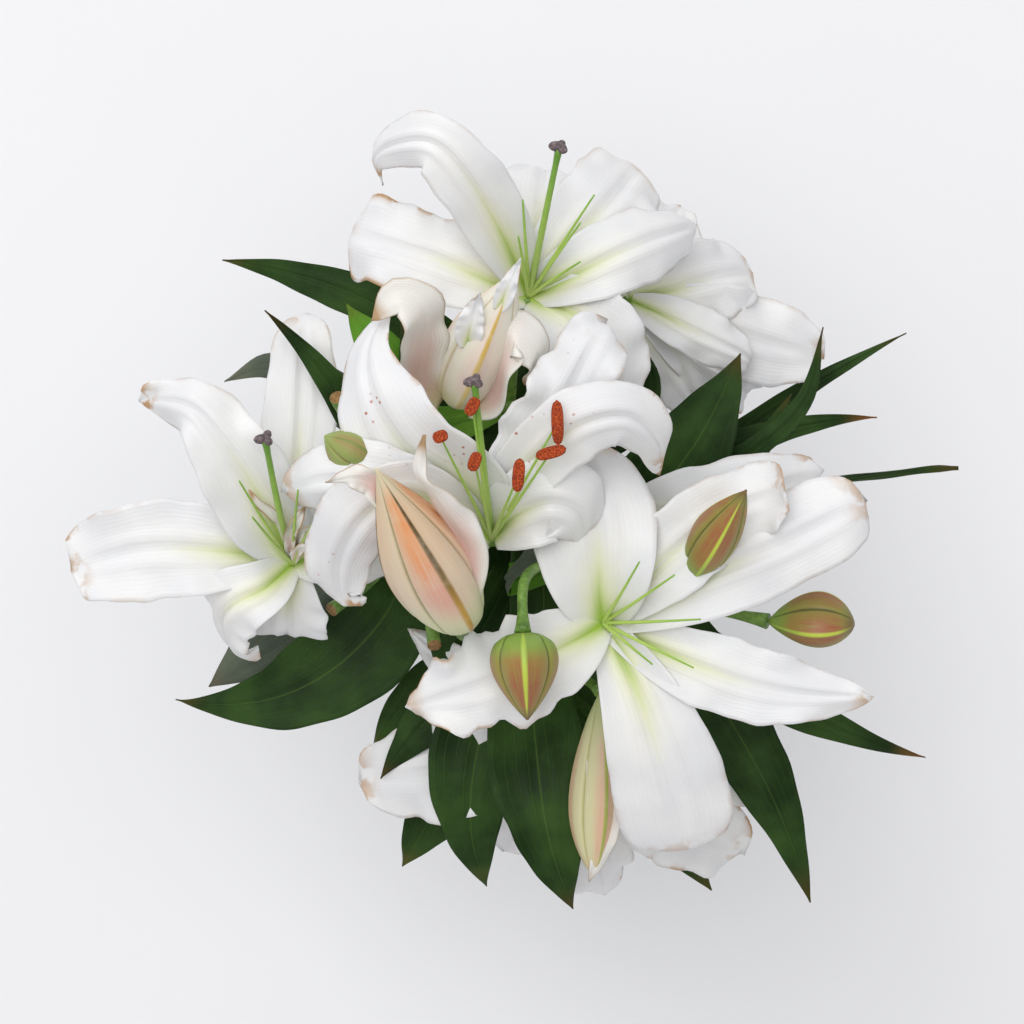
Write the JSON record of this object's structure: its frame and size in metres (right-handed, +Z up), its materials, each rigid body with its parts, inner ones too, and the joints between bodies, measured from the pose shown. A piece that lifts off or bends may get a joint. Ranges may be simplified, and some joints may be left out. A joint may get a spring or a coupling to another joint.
{
  "type": "vase of cut lilies",
  "caption": "White oriental lilies with buds and long leaves on cut stems, standing in water in a plain clear glass cylinder vase.",
  "frame": {"origin": "middle of the vase's foot, on the surface it stands on", "axes": "+Z up along the vase, +Y to the back of the bouquet (the top of the view from above), +X to its right"},
  "size_m": [0.4147, 0.3618, 0.5003],
  "materials": {
    "glass": "clear, smooth, polished rim",
    "water": "clear still water",
    "stem": "fresh green, satin, faintly ribbed",
    "tepal": "white waxy petal, soft sheen, fine veins, green-yellow throat",
    "opening_bud": "cream with pink and orange blush and olive ribs",
    "green_bud": "green with red-brown blush and pale ribs",
    "leaf": "dark green, satin, parallel veins",
    "anther": "matt rust-orange pollen",
    "stigma": "matt grey-brown"
  },
  "bodies": {
    "root": {"vase": "glass", "stem_back": "stem", "stem_right": "stem", "stem_left": "stem", "stem_front": "stem", "bud_opening_left": "opening_bud", "bud_opening_back": "opening_bud", "bud_small_front": "green_bud", "bud_small_right": "green_bud", "bud_green_right": "green_bud", "bud_half_open_front": "opening_bud", "back_lily_tepal_1": "tepal", "back_lily_tepal_2": "tepal", "back_lily_tepal_3": "tepal", "back_lily_tepal_4": "tepal", "back_lily_tepal_5": "tepal", "back_lily_tepal_6": "tepal", "rear_lily_tepal_1": "tepal", "rear_lily_tepal_2": "tepal", "rear_lily_tepal_3": "tepal", "rear_lily_tepal_4": "tepal", "rear_lily_tepal_5": "tepal", "rear_lily_tepal_6": "tepal", "centre_lily_tepal_1": "tepal", "centre_lily_tepal_2": "tepal", "centre_lily_tepal_3": "tepal", "centre_lily_tepal_4": "tepal", "centre_lily_tepal_5": "tepal", "centre_lily_tepal_6": "tepal", "right_lily_tepal_1": "tepal", "right_lily_tepal_2": "tepal", "right_lily_tepal_3": "tepal", "right_lily_tepal_4": "tepal", "right_lily_tepal_5": "tepal", "right_lily_tepal_6": "tepal", "left_lily_tepal_1": "tepal", "left_lily_tepal_2": "tepal", "left_lily_tepal_3": "tepal", "left_lily_tepal_4": "tepal", "left_lily_tepal_5": "tepal", "left_lily_tepal_6": "tepal", "front_lily_tepal_1": "tepal", "front_lily_tepal_2": "tepal", "front_lily_tepal_3": "tepal", "front_lily_tepal_4": "tepal", "front_lily_tepal_5": "tepal", "front_lily_tepal_6": "tepal", "leaf_back_left": "leaf", "leaf_left_upper": "leaf", "leaf_behind_centre": "leaf", "leaf_right_curved": "leaf", "leaf_right_back": "leaf", "leaf_right_edge_on": "leaf", "leaf_right_front": "leaf", "leaf_front_right": "leaf", "leaf_front": "leaf", "leaf_front_left": "leaf", "leaf_front_small": "leaf", "leaf_left_broad": "leaf", "water": "water"}
  },
  "joints": []
}
